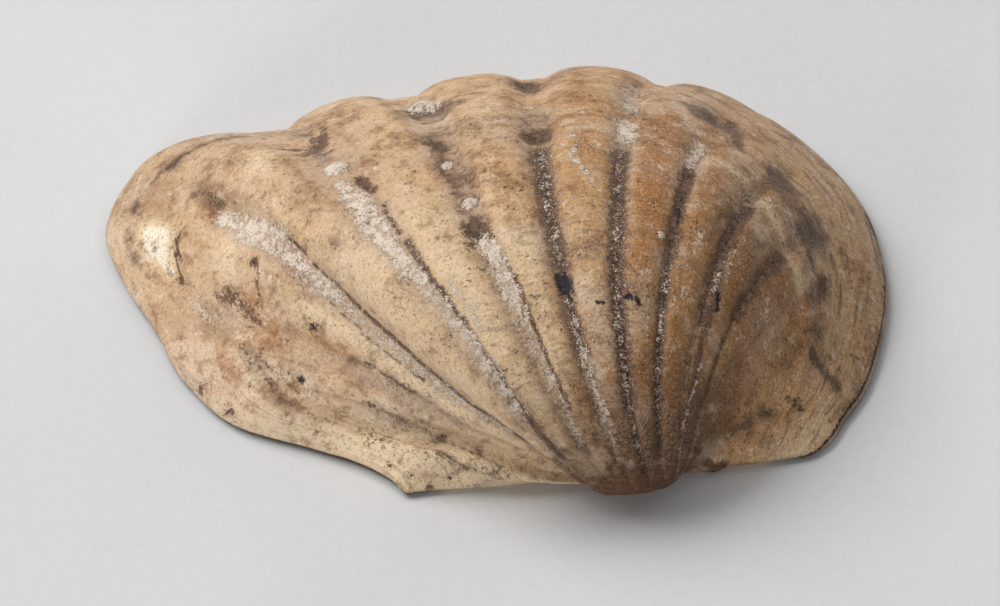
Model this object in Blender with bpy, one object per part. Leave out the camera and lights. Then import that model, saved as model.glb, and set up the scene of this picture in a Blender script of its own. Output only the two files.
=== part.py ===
"""One valve of a fossil brachiopod, lying with its ribbed side up.

The valve grows as a spiral: the outline of its margin swings about the hinge
line while it shrinks, which makes the dome, and ends in the small beak that
leans over the hinge.  Ribs, growth steps and pits are cut into that surface.
Units in the numbers below are millimetres and degrees; the result is metres.
"""
import math

import bmesh
import bpy

NAME = "fossil_valve"
MM = 0.001

# Margin seen from above, from the left hinge corner round the back to the right one.
MARGIN = [
    (-9.85, -1.55), (-10.9, -0.40), (-13.4, 0.80), (-16.2, 1.85), (-17.85, 3.60),
    (-19.15, 6.20), (-20.6, 9.40), (-21.2, 11.7), (-20.7, 13.7), (-19.2, 15.4),
    (-16.9, 16.2), (-14.6, 16.7), (-12.3, 17.8), (-9.4, 18.5), (-6.0, 19.2),
    (-2.4, 19.45), (0.8, 18.9), (3.8, 17.6), (6.4, 15.4), (8.2, 12.7),
    (9.0, 9.5), (8.95, 6.9), (8.3, 3.9), (7.4, 2.2), (6.75, 1.15), (6.1, 0.52),
    (5.5, 0.30), (5.0, 0.25),
]
# The hinge line runs through the beak and is bent there: rise of y over x.
HINGE_SLOPE_LEFT = 0.155
HINGE_SLOPE_RIGHT = 0.05

# Growth spiral
SHRINK = 0.80            # size falls by exp(-SHRINK) for each radian of swing
SWING_END = 168.0        # swing at which the beak closes
EDGE = 0.28              # height of the blunt foot of the margin
ROLL = 0.55              # the margin rolls over this high above the foot
ROLL_RUN = 1.5           # and this far in

# Ribs: a groove at place 0 leaves the margin at RIB_FIRST, the others follow to the right.
RIB_FIRST = 153.0
RIB_PITCH = 13.0
RIB_TWIST = 8.0          # how far the grooves lean over as the valve swings up
RIB_TWIST_GAIN = 1.05    # extra lean for each groove further to the right
RIB_DEPTH = 0.50
RIB_LOW, RIB_HIGH = -1.0, 9.5
# Place of each groove in rib spacings, from groove RIB_LOW on, and how far the two
# lowest ones sag towards the hinge higher up the valve.
RIB_PLACE = [-0.62, -0.08, 0.85, 1.81, 2.79, 3.83, 4.98, 6.05, 7.13, 8.12, 9.07, 10.0]
RIB_SAG = 0.42
FLOOR_LEFT, FLOOR_RIGHT = 0.15, 0.07   # half width of the groove floors, in rib spacings
# How deep each groove is cut, from groove RIB_LOW on: left band to right lobe.
RIB_STRENGTH = [0.35, 0.60, 0.95, 1.10, 1.00, 0.95, 0.85, 0.65, 0.55, 0.45, 0.20, 0.0]

# Growth marks
RING_SWING = 19.0        # the halt in growth that leaves a pit in every groove
RING_STEP = 0.14
PIT_DEPTH = 0.24
RIDGE_SWING = 32.0       # the right-hand grooves end at a raised line here
RIDGE_HEIGHT = 0.16
BAND_HEIGHT = 0.75       # thickness of the chalky band along the hinge

# The hinge margin overhangs its foot on both sides of the beak.
HANG_FORWARD = 0.24      # the edge stands out by this
HANG_BACK = 0.55         # and its foot is set back by this
FOOT_INSET = 0.20        # the foot is set in under the edge all round

# Underside: a flat worn rim to rest on, round a shallow filled hollow.
RIM_WIDTH = 2.0
HOLLOW_DEPTH = 1.7
HOLLOW_CENTRE = (-4.5, 7.6)

STONE = (0.34, 0.235, 0.145, 1.0)


def smooth(low, high, value):
    t = min(1.0, max(0.0, (value - low) / (high - low)))
    return t * t * (3.0 - 2.0 * t)


def bump(centre, half_width, value):
    return math.exp(-((value - centre) / half_width) ** 2)


def spline(points, steps):
    """Catmull-Rom curve through the points."""
    ends = [tuple(2 * a - b for a, b in zip(points[0], points[1]))]
    tail = [tuple(2 * a - b for a, b in zip(points[-1], points[-2]))]
    run = ends + list(points) + tail
    curve = []
    for i in range(1, len(run) - 2):
        for k in range(steps):
            t = k / steps
            curve.append(tuple(
                0.5 * (2 * b + (c - a) * t + (2 * a - 5 * b + 4 * c - d) * t * t
                       + (3 * b - a - 3 * c + d) * t ** 3)
                for a, b, c, d in zip(run[i - 1], run[i], run[i + 1], run[i + 2])))
    curve.append(tuple(points[-1]))
    return curve


def hinge(x):
    return x * (HINGE_SLOPE_LEFT if x < 0 else HINGE_SLOPE_RIGHT)


def polar_margin():
    """The margin as (bearing, radius) about the beak, measured from the hinge line."""
    table = []
    for x, y in spline(MARGIN, 24):
        rise = max(0.0, y - hinge(x))
        table.append((math.degrees(math.atan2(rise, x)), math.hypot(x, rise)))
    table.sort()
    return table


POLAR = polar_margin()


def margin_radius(bearing):
    if bearing <= POLAR[0][0]:
        return POLAR[0][1]
    for (a, ra), (b, rb) in zip(POLAR, POLAR[1:]):
        if bearing <= b:
            return ra + (rb - ra) * (bearing - a) / max(b - a, 1e-9)
    return POLAR[-1][1]


def along(table, groove):
    """Value between the entries of a table that starts at groove RIB_LOW."""
    place = min(max(groove - RIB_LOW, 0.0), len(table) - 1.001)
    i = int(place)
    return table[i] + (table[i + 1] - table[i]) * (place - i)


def hang_at(x):
    """How far the hinge margin hangs over at x: 0 not, 1 fully."""
    return smooth(-9.0, -5.0, x) * (1.0 - smooth(3.5, 5.5, x))


def bearing_of(column, swing):
    """Bearing of one column of the surface; columns follow the ribs."""
    lean = math.sin(math.radians(swing))

    def rib_line(groove):
        place = along(RIB_PLACE, groove)
        place -= RIB_SAG * smooth(20.0, 70.0, swing) * (1.0 - smooth(1.0, 2.0, groove))
        return RIB_FIRST + RIB_TWIST * lean - place * (RIB_PITCH - RIB_TWIST_GAIN * lean)

    kind, value = column
    if kind == "left":
        return rib_line(RIB_LOW) * (1 - value) + 180.0 * value
    if kind == "right":
        return rib_line(RIB_HIGH) * (1 - value)
    return rib_line(value)


def groove_of(column):
    """Rib count of a column; it runs on past the outermost grooves."""
    kind, value = column
    if kind == "left":
        return RIB_LOW - value
    if kind == "right":
        return RIB_HIGH + 3.0 * value
    return value


def floor_width(groove):
    return FLOOR_LEFT + (FLOOR_RIGHT - FLOOR_LEFT) * smooth(1.0, 6.0, groove)


def rib_profile(groove):
    """0 on the floor of a groove, 1 on the crown of a rib."""
    away = abs(groove - round(groove))
    flat = floor_width(groove)
    climb = min(1.0, max(0.0, (away - flat) / (0.5 - flat)))
    return 1.0 - (1.0 - climb) ** 2.3


def relief(groove, swing):
    """Height in mm, at the size of the margin, that ribs and growth marks add."""
    right = smooth(5.2, 6.2, groove)
    left = 1.0 - smooth(1.2, 2.6, groove)
    ribs = RIB_DEPTH * along(RIB_STRENGTH, groove)
    ribs *= 1.0 - right * (1.0 - smooth(21.0, 33.0, swing))
    ribs *= 1.0 - 0.7 * left * (1.0 - smooth(5.0, 15.0, swing))
    height = -ribs * (1.0 - rib_profile(groove)) * (1.0 - smooth(140.0, 165.0, swing))
    # the ribs stand a little lower outside the halted ring, more so on the left wing
    ring = RING_SWING + 1.5 * math.sin(2.3 * groove) * left
    height -= RING_STEP * (1.0 + 0.8 * left) * (1.0 - smooth(ring - 2.5, ring + 2.5, swing))
    height += RIDGE_HEIGHT * right * bump(RIDGE_SWING, 2.6, swing)
    height -= 0.10 * right * (1.0 - smooth(25.0, 31.0, swing))
    if 0.5 < groove < 9.4:
        away = groove - round(groove)
        depth = PIT_DEPTH * (1.0 - 0.35 * right)
        height -= depth * bump(0.0, 0.16 + 0.10 * right, away) * bump(RING_SWING - 1.5, 3.2, swing)
    # line that sets off the rim of the left wing
    rim_line = 4.0 + 5.5 * smooth(0.2, 1.9, groove)
    height -= 0.22 * bump(1.0, 1.1, groove) * bump(rim_line, 1.7, swing)
    return height


def surface(column, swing):
    bearing = bearing_of(column, swing)
    groove = groove_of(column)
    size = math.exp(-SHRINK * math.radians(swing))
    full = margin_radius(bearing)
    radius = full * size + relief(groove, swing) * size ** 0.75
    x = radius * math.cos(math.radians(bearing))
    rise = max(0.0, radius * math.sin(math.radians(bearing)))
    lift = math.sin(math.radians(swing))
    lean = math.cos(math.radians(swing))
    y = hinge(x) + rise * lean
    z = rise * lift
    # chalky band along the left of the hinge
    kind, value = column
    if kind == "left":
        thick = BAND_HEIGHT * size ** 0.5 * (0.3 + 0.7 * smooth(0.0, 14.0, swing))
        thick *= smooth(0.25, 0.65, value) * (1.0 - smooth(0.80, 1.0, value))
        y -= thick * lift
        z += thick * lean
    # small ledge of the hinge showing under the right lobe
    if 0.0 < x < 3.0:
        ledge = (1.0 - smooth(5.0, 13.0, bearing)) * smooth(0.0, 0.8, x)
        y -= 0.30 * ledge * (1.0 - smooth(2.2, 3.0, x))
    y -= HANG_FORWARD * hang_at(x) * (1.0 - smooth(0.0, 2.0, rise))
    # the margin rolls over before it meets the ground
    inward = min(1.0, full * (1.0 - size) / ROLL_RUN)
    roll = ROLL * math.sqrt(1.0 - (1.0 - inward) ** 2) * smooth(0.0, 0.9, rise)
    z += EDGE + roll * (1.0 - 0.7 * smooth(35.0, 110.0, swing))
    return x, y, z


def column_list():
    columns = [("left", v) for v in (1.0, 0.92, 0.80, 0.65, 0.45, 0.25)]
    groove = RIB_LOW
    for i in range(int(RIB_LOW), int(RIB_HIGH) + 1):
        flat = floor_width(i)
        slope = flat + 0.13
        crown = (0.50,) if i > 3 else (0.40, 0.60) if i > 1 else (0.39, 0.50, 0.61)
        for away in (-flat, flat, slope) + crown + (1.0 - slope,):
            if RIB_LOW <= i + away < RIB_HIGH:
                columns.append(("rib", i + away))
    columns += [("rib", RIB_HIGH)]
    columns += [("right", v) for v in (0.16, 0.34, 0.5, 0.64, 0.76, 0.87, 0.94, 1.0)]
    return columns


def swing_list():
    swings = [0.0, 0.7] + [2.0 * i for i in range(1, 21)]
    step = 2.6
    while swings[-1] + step < SWING_END - 3.0:
        swings.append(swings[-1] + step)
        step = min(step * 1.06, 6.0)
    swings.append(SWING_END)
    return swings


def foot_of(x, y):
    """Where the foot stands below a point of the edge."""
    y = max(y, hinge(x) + HANG_BACK * hang_at(x))
    cx, cy = HOLLOW_CENTRE
    keep = 1.0 - FOOT_INSET / math.hypot(x - cx, y - cy)
    return cx + (x - cx) * keep, cy + (y - cy) * keep, 0.0


def underside(inward, groove):
    """Height of the filled hollow; inward runs from 0 at the rim to 1 at its middle."""
    bowl = HOLLOW_DEPTH * (1.0 - (1.0 - inward) ** 2)
    ribs = 0.14 * math.cos(2 * math.pi * groove) * along(RIB_STRENGTH, groove)
    ribs *= smooth(0.0, 0.12, inward) * (1.0 - smooth(0.2, 0.7, inward))
    ring = 0.10 * bump(0.22, 0.06, inward)
    return bowl + ribs - ring


def build_valve():
    mesh = bmesh.new()
    columns = column_list()
    swings = swing_list()
    top = [[mesh.verts.new(surface(c, s)) for c in columns] for s in swings]
    for low, high in zip(top, top[1:]):
        for i in range(len(columns) - 1):
            mesh.faces.new((low[i], high[i], high[i + 1], low[i + 1]))

    # the underside outline: margin columns, then a few points along the hinge line
    rows = len(swings)
    picks = sorted(set(list(range(0, rows, 7)) + [rows - 1]))
    outline = list(reversed(top[0]))                      # right corner to left corner
    outline += [top[j][0] for j in picks[1:]]             # left corner to beak
    outline += [top[j][-1] for j in reversed(picks[1:])]  # beak to right corner
    grooves = [groove_of(c) for c in reversed(columns)]
    grooves += [RIB_LOW - 1.0] * len(picks[1:]) + [RIB_HIGH + 3.0] * len(picks[1:])
    foot = [mesh.verts.new(foot_of(v.co.x, v.co.y)) for v in outline]
    count = len(foot)

    # wall of the worn edge: quads round the margin, longer faces along the hinge
    for i in range(len(columns) - 1):
        mesh.faces.new((outline[i], outline[i + 1], foot[i + 1], foot[i]))
    left = len(columns) - 1
    for a, b in zip(picks, picks[1:]):
        upper = [top[j][0] for j in range(a, b + 1)]
        mesh.faces.new(upper + [foot[left + 1], foot[left]])
        left += 1
    right = left + 1
    for b, a in zip(reversed(picks[1:]), reversed(picks[:-1])):
        upper = [top[j][-1] for j in range(b, a - 1, -1)]
        mesh.faces.new(upper + [foot[(right + 1) % count], foot[right]])
        right += 1
    # under the beak: the end of the spiral and the bit of wall below it
    mesh.faces.new(list(reversed(top[-1])))
    mesh.faces.new((top[-1][0], top[-1][-1], foot[left + 1], foot[left]))

    # rim and hollow
    cx, cy = HOLLOW_CENTRE
    rings = [foot]
    for inward in (0.0, 0.1, 0.2, 0.32, 0.5, 0.72, 0.9):
        ring = []
        for v, groove in zip(foot, grooves):
            reach = math.hypot(v.co.x - cx, v.co.y - cy)
            keep = (reach - RIM_WIDTH) / reach * (1.0 - inward)
            x = cx + (v.co.x - cx) * keep
            y = cy + (v.co.y - cy) * keep
            z = underside(inward, groove) if inward > 0 else 0.0
            ring.append(mesh.verts.new((x, y, z)))
        rings.append(ring)
    for outer, inner in zip(rings, rings[1:]):
        for i in range(count):
            k = (i + 1) % count
            mesh.faces.new((outer[i], outer[k], inner[k], inner[i]))
    middle = mesh.verts.new((cx, cy, HOLLOW_DEPTH))
    last = rings[-1]
    for i in range(count):
        mesh.faces.new((last[i], last[(i + 1) % count], middle))

    bmesh.ops.triangulate(mesh, faces=[f for f in mesh.faces if len(f.verts) > 4])
    bmesh.ops.recalc_face_normals(mesh, faces=mesh.faces)
    return mesh


def centre_on_base(mesh):
    for axis in (0, 1):
        values = [v.co[axis] for v in mesh.verts]
        shift = 0.5 * (min(values) + max(values))
        for v in mesh.verts:
            v.co[axis] -= shift
    for v in mesh.verts:
        v.co *= MM


def main():
    for old in list(bpy.data.objects):
        bpy.data.objects.remove(old, do_unlink=True)
    group = bpy.data.collections.new("brachiopod_fossil")
    bpy.context.scene.collection.children.link(group)

    mesh = build_valve()
    centre_on_base(mesh)
    data = bpy.data.meshes.new(NAME)
    mesh.to_mesh(data)
    mesh.free()

    stone = bpy.data.materials.new("fossil_stone")
    stone.use_nodes = True
    shader = stone.node_tree.nodes["Principled BSDF"]
    shader.inputs["Base Color"].default_value = STONE
    shader.inputs["Roughness"].default_value = 0.7
    data.materials.append(stone)
    valve = bpy.data.objects.new(NAME, data)
    group.objects.link(valve)


main()
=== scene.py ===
"""Looks for one valve of a fossil brachiopod, grown as a spiral from its margin."""
import math

import bmesh
import bpy
import numpy as np
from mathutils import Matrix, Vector


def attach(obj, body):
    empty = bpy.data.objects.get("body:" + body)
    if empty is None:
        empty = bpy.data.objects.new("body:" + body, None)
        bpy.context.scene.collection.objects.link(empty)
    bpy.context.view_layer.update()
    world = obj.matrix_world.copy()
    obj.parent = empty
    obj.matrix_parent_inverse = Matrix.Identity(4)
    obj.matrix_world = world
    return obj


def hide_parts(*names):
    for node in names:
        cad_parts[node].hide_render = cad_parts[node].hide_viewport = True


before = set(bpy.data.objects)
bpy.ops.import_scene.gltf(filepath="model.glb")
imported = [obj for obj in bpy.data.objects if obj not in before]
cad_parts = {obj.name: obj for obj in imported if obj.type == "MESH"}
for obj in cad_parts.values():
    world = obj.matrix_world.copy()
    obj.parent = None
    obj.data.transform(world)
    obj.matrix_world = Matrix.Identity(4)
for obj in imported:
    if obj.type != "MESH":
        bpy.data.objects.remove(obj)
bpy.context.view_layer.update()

MM = 0.001

# ---------------------------------------------------------------- shape, in mm and degrees
# Margin seen from above, from the left hinge corner round the back to the right one,
# with the beak at (0, 0).  The hinge line runs through the beak and is bent there.
MARGIN = [
    (-9.85, -1.55), (-10.9, -0.40), (-13.4, 0.80), (-16.2, 1.85), (-17.85, 3.60),
    (-19.15, 6.20), (-20.6, 9.40), (-21.2, 11.7), (-20.7, 13.7), (-19.2, 15.4),
    (-16.9, 16.2), (-14.6, 16.7), (-12.3, 17.8), (-9.4, 18.5), (-6.0, 19.2),
    (-2.4, 19.45), (0.8, 18.9), (3.8, 17.6), (6.4, 15.4), (8.2, 12.7),
    (9.0, 9.5), (8.95, 6.9), (8.3, 3.9), (7.4, 2.2), (6.75, 1.15), (6.1, 0.52),
    (5.5, 0.30), (5.0, 0.25),
]
MARGIN_STEPS = 4                        # curve points for each of these
HINGE_SLOPE_LEFT, HINGE_SLOPE_RIGHT = 0.155, 0.05
BEAK_PLACE = (6.0212, -8.4378, 0.0)     # the beak in the object's frame
RADIUS_SCALE = 30.0                     # the margin curve's values are read in this unit

SIZES = {                               # inputs of the growth tree
    "Shrink": 0.80, "Swing End": 168.0, "Edge": 0.28, "Roll": 0.55, "Roll Run": 1.5,
    "Rib First": 153.0, "Rib Pitch": 13.0, "Rib Twist": 8.0, "Twist Gain": 1.05,
    "Rib Sag": 0.42, "Rib Depth": 0.55, "Ring Swing": 19.0, "Ring Step": 0.14,
    "Pit Depth": 0.28, "Ridge Swing": 32.0, "Ridge Height": 0.16, "Band Height": 0.75,
    "Hang Forward": 0.24,
}
RIB_LOW, RIB_HIGH = -1.0, 9.5
RIB_PLACE = [-0.62, -0.08, 0.85, 1.81, 2.79, 3.83, 4.98, 6.05, 7.13, 8.12, 9.07, 10.0]
RIB_STRENGTH = [0.60, 0.95, 1.20, 1.25, 1.10, 1.05, 0.95, 0.80, 0.76, 0.64, 0.32, 0.0]
GROOVE_SPAN = 16.0                      # grooves -2 to 14 are one curve, read from 0 to 1
COLUMNS, ROWS = 300, 235
CROWD = 0.55                            # how far columns crowd into the grooves
LEFT_SHARE, RIGHT_SHARE = 0.07, 0.90    # columns of the hinge band and of the right lobe
HANG_BACK, FOOT_INSET = 0.65, 0.20      # the foot of the edge is set in, most beside the beak
RIM_WIDTH, HOLLOW_DEPTH = 2.0, 1.7
HOLLOW_CENTRE = (-4.5, 7.6, 0.0)
RINGS_BELOW = 18
RIB_BELOW, RING_BELOW = 0.28, 0.10      # how far ribs and ring show in the hollow
RIB_IN, RIB_OUT, RIB_FADE = 0.12, 0.7, 0.5      # shares of the way to its middle
RING_AT, RING_RUN = 0.22, 0.06
WELD = 0.0005                           # points closer than this are one
UNDER_GROOVE, UNDER_SWING = 1.2, 22.0   # the one ground tone of the underside
GROUND_SLACK, FOOT_REACH = 0.001, 0.05  # what counts as on the ground and as at the foot
LOWEST_MARK, LOWEST_KNOB = 0.02, 0.4    # heights under which nothing is marked or raised
SWING_PER_GROOVE = 12.0                 # swing that counts as much as one groove in a search
OUT_OF_REACH = 100.0                    # keeps a search off the underside
STROKE_GROOVE, STROKE_SWING = 0.04, 0.6     # longest step along a stroke

# ---------------------------------------------------------------- light and lens
# In metres and degrees; the sensor is in mm.
LAMPS = [                               # name, bearing, height, size, power in watts
    ("window", 150.0, 50.0, 0.40, 2.9), ("back_card", 60.0, 50.0, 0.70, 1.2),
    ("front_card", 240.0, 12.0, 0.16, 1.1),
]
LAMP_DISTANCE, LAMP_TARGET = 0.55, (0, 0, 0.003)
SKY_STRENGTH, FLOOR_HALF = 0.10, 0.6
PICTURE_WIDTH, PIXELS_PER_MM = 1000, 26.4
PICTURE_CENTRE, BEAK_PIXEL = (500, 303), (655, 468)
CAMERA_ELEVATION, CAMERA_DISTANCE, SENSOR = 50.0, 1.0, 36.0

# ---------------------------------------------------------------- marks left on the shell
# Each row is one stroke: half its width in mm, how full it is, then the places it runs
# through as (groove number, swing).  One place alone is a round spot.
LIME = [                    # chalky crumbs left in the grooves
    (0.36, 0.9, (1.03, 15.5), (1.02, 18)), (0.52, 1.1, (1.04, 19), (1.09, 26)),
    (0.4, 0.84, (1.07, 27), (1, 31), (1.02, 36)),
    (0.32, 0.6, (0.97, 36), (0.93, 44), (0.95, 54), (0.92, 62)),
    (0.22, 0.54, (0.91, 64), (0.92, 84)), (0.4, 1.5, (2.01, 26.5)),
    (0.2, 1.2, (1.94, 30), (1.93, 32)), (0.44, 1.15, (1.95, 34), (1.91, 43)),
    (0.38, 1, (1.91, 44), (1.95, 52)), (0.34, 0.72, (1.96, 54), (2.03, 62), (2.08, 74), (2.03, 96)),
    (0.56, 1.3, (3.02, 13.8)), (0.18, 1.5, (2.96, 33)), (0.2, 1.6, (2.99, 43)),
    (0.34, 1, (2.98, 52.5), (3.07, 57), (3.05, 65)), (0.36, 0.66, (3.06, 67), (3.1, 82)),
    (0.24, 0.58, (3.1, 82), (3.08, 112)), (0.34, 0.62, (3.97, 21)),
    (0.36, 0.4, (4.01, 35), (4.01, 61)), (0.26, 0.56, (4.02, 70), (4.05, 79)),
    (0.22, 0.66, (4.05, 80), (4.12, 99), (4.06, 128)), (0.46, 0.72, (4.87, 13), (4.95, 23)),
    (0.42, 1.1, (4.99, 28), (5.01, 32)), (0.32, 0.36, (4.99, 36), (5, 57), (4.96, 74)),
    (0.2, 0.5, (4.95, 76), (4.95, 130)), (0.26, 0.9, (5.98, 29), (5.96, 35)),
    (0.22, 0.43, (6.03, 62), (5.98, 85), (5.9, 112)), (0.12, 1.7, (5.82, 56)),
    (0.08, 1.4, (5.53, 66)), (0.26, 0.46, (7.3, 50), (7.2, 62)),
    (0.09, 0.66, (7.43, 84), (7.28, 98), (7.1, 110)), (0.5, 0.48, (0.21, 7.5), (0.1, 9.5)),
    (0.22, 0.54, (0.2, 38), (0.12, 47)), (0.3, 0.46, (-1, 30), (-1.2, 29)),
    (0.3, 0.55, (-1.93, 26), (-1.9, 40)), (0.25, 0.55, (2.35, 60), (2.4, 72)),
    (0.3, 0.45, (4.4, 33), (4.45, 40)), (0.12, 0.7, (4.35, 38), (4.65, 45)),
]
CLAY = [                    # purple-brown clay packed in behind and beside it
    (0.26, 0.58, (1.16, 13), (1.12, 15.5)), (0.2, 1, (0.78, 21)),
    (0.1, 0.55, (0.82, 21), (0.72, 22), (0.54, 20.5), (0.34, 18), (0.2, 16)),
    (0.13, 0.85, (1.2, 27), (1.17, 36), (1.12, 43), (1.1, 54), (1.04, 68), (1, 96)),
    (0.1, 0.6, (0.86, 34), (0.78, 42), (0.8, 54)),
    (0.42, 0.8, (1.9, 19), (1.97, 18), (2.07, 15.5), (2.15, 13)),
    (0.2, 0.66, (2.24, 11.5), (2.16, 13.5), (2.02, 16), (1.8, 15.5)),
    (0.3, 0.45, (1.96, 22), (2.1, 19)), (0.22, 0.95, (2.09, 30.5), (2.12, 34)),
    (0.14, 0.75, (2.12, 38), (2.1, 45)),
    (0.18, 0.9, (2.09, 48), (2.1, 56), (2.15, 66), (2.17, 78), (2.12, 100), (2.08, 120)),
    (0.34, 0.42, (2, 56), (2.05, 74), (2.03, 110)),
    (0.34, 0.55, (2.92, 19), (3.02, 20), (3.12, 19)), (0.28, 0.8, (2.89, 26.5), (2.99, 29.5)),
    (0.3, 0.5, (2.9, 32), (2.91, 40)), (0.5, 0.62, (2.98, 43)), (0.44, 1, (2.93, 48.5), (2.97, 51)),
    (0.28, 0.85, (2.8, 52)), (0.2, 0.95, (3.04, 52.5)),
    (0.34, 0.46, (3.08, 58), (3.14, 80), (3.1, 118)),
    (0.15, 0.85, (3.2, 57), (3.24, 72), (3.22, 100)), (0.5, 1, (3.94, 9.5), (3.95, 13)),
    (0.5, 1.1, (4, 30.5)), (0.34, 0.92, (4, 35), (4.01, 62)), (0.3, 0.85, (4.01, 70), (4.06, 84)),
    (0.26, 0.66, (4.1, 86), (4.14, 104), (4.1, 132)), (0.55, 0.4, (4.87, 13), (4.95, 23)),
    (0.36, 0.86, (4.99, 37), (5, 57), (4.97, 70)), (0.32, 0.98, (4.96, 72), (4.95, 102)),
    (0.2, 0.85, (4.95, 104), (4.95, 136)), (0.4, 0.35, (5.98, 28), (5.97, 34)),
    (0.27, 1, (5.99, 37), (6.04, 49), (6.05, 59)),
    (0.22, 0.92, (6.04, 61), (6.01, 70), (5.97, 86), (5.91, 101), (5.86, 126)),
    (0.3, 1, (7.06, 37), (7.02, 47), (7.13, 59), (7.22, 72)),
    (0.2, 0.8, (7.24, 74), (7.3, 87), (7.2, 112)), (0.28, 0.85, (8.08, 37), (8.11, 50), (8.06, 63)),
    (0.18, 0.6, (8.03, 64), (7.98, 92)), (0.16, 0.34, (9, 42), (9, 74)),
    (0.12, 0.5, (0.33, 38), (0.34, 45), (0.37, 54)),
    (0.13, 0.95, (7.05, 113), (7.34, 117), (7.87, 119), (8.23, 120), (8.99, 121), (9.72, 119)),
    (0.13, 0.95, (11.88, 92), (12.15, 79), (12.38, 67), (12.47, 60), (12.5, 48)),
    (0.24, 0.6, (7.81, 96), (7.83, 102), (7.67, 109), (7.51, 115)),
    (0.2, 1.1, (12.26, 73), (12.5, 55)), (0.16, 1, (9.28, 120)),
    (0.08, 0.75, (10.92, 36), (11.05, 28), (11.2, 20)), (0.2, 0.45, (11.3, 62), (11.34, 47)),
    (0.24, 0.5, (-0.6, 32), (-0.81, 32), (-1.02, 33), (-1.22, 32)),
    (0.34, 0.36, (-1.31, 11), (-1.55, 8), (-1.7, 16), (-1.77, 31), (-1.62, 47)),
    (0.34, 0.62, (0.37, 12.5), (0.39, 15.5), (0.24, 15.5)),
    (0.25, 0.42, (-0.2, 11), (-0.63, 12.7), (-1.02, 11.2)),
    (0.1, 0.55, (-0.27, 13.3), (-0.54, 15), (-0.9, 15)), (0.12, 0.45, (-0.68, 7), (-0.99, 8)),
    (0.22, 0.8, (-0.94, 0.8)), (0.3, 0.75, (-1.14, 1.2)), (0.2, 0.85, (0.41, 7.4)),
    (0.12, 0.7, (0.61, 9)), (0.07, 0.75, (0.77, 9.8), (0.66, 9), (0.55, 8.3), (0.44, 7.6)),
    (0.16, 0.42, (1.74, 8), (1.5, 7), (1.31, 6), (1.07, 4.2), (0.85, 3.4)), (0.28, 0.8, (0.43, 29)),
    (0.14, 0.85, (-1.72, 2)), (0.16, 0.75, (-1.86, 5)), (0.2, 0.8, (-1.97, 8)),
    (0.12, 0.7, (-1.9, 14)), (0.3, 0.45, (-1.35, 12), (-1.5, 9)),
]
INK_AND_RIM_SHADOW = [                     # black-violet spots, and a painted contact shadow along the rim of the right lobe
    (0.3, 1.2, (3.97, 65), (4, 66.5)), (0.12, 0.9, (4.06, 70)),
    (0.11, 0.95, (4.54, 72.5), (4.62, 73), (4.69, 73)), (0.12, 1, (5.14, 71), (5.29, 72)),
    (0.1, 0.95, (5.38, 72), (5.46, 73.5)), (0.12, 1, (7.32, 62.5), (7.38, 64.5), (7.44, 66.5)),
    (0.2, 1, (-0.61, 19.5)), (0.09, 0.9, (-0.5, 18)), (0.13, 1, (0.43, 28.6)),
    (0.09, 0.9, (0.78, 20.8)), (0.3, 1.1, (7.5, 1.2), (7.69, 0.6)), (0.16, 0.85, (8.47, 1)),
    (0.07, 0.9, (3.14, 52.5)), (0.06, 0.8, (2.06, 35.5)),
    # painted contact shadow: a dark line along the rim of the right lobe
    (0.13, 0.8, (6.9, 0.6), (7.6, 0.7), (8.6, 0.7), (9.5, 0.7), (11, 0.7), (12.4, 0.7)),
    (0.16, 0.7, (6.04, 47), (6.05, 50)),
]
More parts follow.
